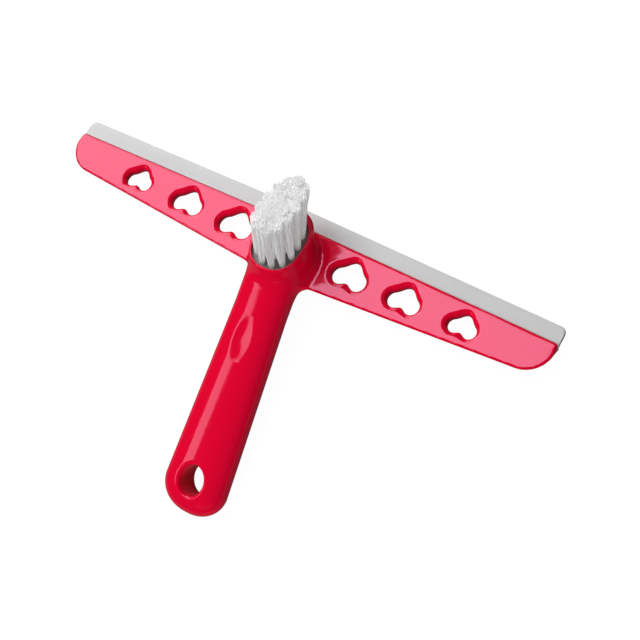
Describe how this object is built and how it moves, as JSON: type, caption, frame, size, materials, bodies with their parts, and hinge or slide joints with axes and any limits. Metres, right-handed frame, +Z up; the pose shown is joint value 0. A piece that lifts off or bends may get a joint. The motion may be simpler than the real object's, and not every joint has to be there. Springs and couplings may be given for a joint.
{
  "type": "glass squeegee",
  "caption": "T-shaped glass squeegee with a rubber wiper blade, heart cut-outs in its crossbar, a tufted scrubbing brush and a hanging hole in the handle's end.",
  "frame": {"origin": "under the middle of the tool's box, on the ground plane it rests on", "axes": "+X along the crossbar, +Y from the handle's end to the wiper blade, +Z up, out of the front where the brush is"},
  "size_m": [0.2508, 0.1542, 0.042],
  "materials": {
    "red_plastic": "glossy moulded red plastic",
    "grey_rubber": "smooth light grey rubber",
    "white_plastic": "satin white plastic",
    "white_nylon": "white nylon bristle",
    "anchor_steel": "plain steel strip"
  },
  "bodies": {
    "root": {"handle_and_crossbar": "red_plastic", "wiper_blade": "grey_rubber", "brush_block": "white_plastic", "bristle_tuft_01": "white_nylon", "bristle_tuft_02": "white_nylon", "bristle_tuft_03": "white_nylon", "bristle_tuft_04": "white_nylon", "bristle_tuft_05": "white_nylon", "bristle_tuft_06": "white_nylon", "bristle_tuft_07": "white_nylon", "bristle_tuft_08": "white_nylon", "bristle_tuft_09": "white_nylon", "bristle_tuft_10": "white_nylon", "bristle_tuft_11": "white_nylon", "bristle_tuft_12": "white_nylon", "bristle_tuft_13": "white_nylon", "bristle_tuft_14": "white_nylon", "bristle_tuft_15": "white_nylon", "bristle_tuft_16": "white_nylon", "bristle_tuft_17": "white_nylon", "bristle_tuft_18": "white_nylon", "bristle_tuft_19": "white_nylon", "bristle_tuft_20": "white_nylon", "bristle_tuft_21": "white_nylon", "bristle_tuft_22": "white_nylon", "tuft_anchor_01": "anchor_steel", "tuft_anchor_02": "anchor_steel", "tuft_anchor_03": "anchor_steel", "tuft_anchor_04": "anchor_steel", "tuft_anchor_05": "anchor_steel", "tuft_anchor_06": "anchor_steel", "tuft_anchor_07": "anchor_steel", "tuft_anchor_08": "anchor_steel", "tuft_anchor_09": "anchor_steel", "tuft_anchor_10": "anchor_steel", "tuft_anchor_11": "anchor_steel", "tuft_anchor_12": "anchor_steel", "tuft_anchor_13": "anchor_steel", "tuft_anchor_14": "anchor_steel", "tuft_anchor_15": "anchor_steel", "tuft_anchor_16": "anchor_steel", "tuft_anchor_17": "anchor_steel", "tuft_anchor_18": "anchor_steel", "tuft_anchor_19": "anchor_steel", "tuft_anchor_20": "anchor_steel", "tuft_anchor_21": "anchor_steel", "tuft_anchor_22": "anchor_steel"}
  },
  "joints": []
}
